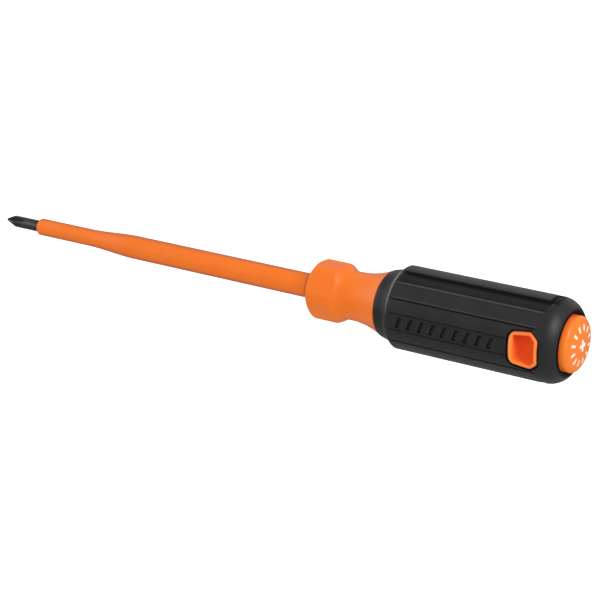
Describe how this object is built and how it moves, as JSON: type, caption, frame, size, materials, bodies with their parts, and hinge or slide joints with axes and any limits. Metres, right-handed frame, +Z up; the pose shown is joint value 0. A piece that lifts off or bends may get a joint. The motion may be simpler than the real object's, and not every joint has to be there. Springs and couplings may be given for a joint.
{
  "type": "insulated screwdriver",
  "caption": "Insulated cross-point screwdriver with a slim-tipped insulated shank, a flared collar, a ribbed cushion grip, a hang hole and a marked end button.",
  "frame": {"origin": "the extreme tip of the blade, on the tool's axis", "axes": "+X along the tool from the tip to the handle's end, +Y along the hang hole to the plain side, +Z up"},
  "size_m": [0.2654, 0.0316, 0.0314],
  "materials": {
    "blade": "black oxide on tool steel, satin",
    "inner_insulation": "natural white polymer, satin",
    "outer_insulation": "moulded orange polymer, semi-gloss",
    "handle_core": "moulded orange polymer, semi-gloss",
    "grip": "soft black overmoulding, matt",
    "tip_mark": "white infill, satin"
  },
  "bodies": {
    "root": {"blade": "blade", "inner_insulation": "inner_insulation", "outer_insulation": "outer_insulation", "handle_core": "handle_core", "grip": "grip", "tip_mark": "tip_mark"}
  },
  "joints": []
}
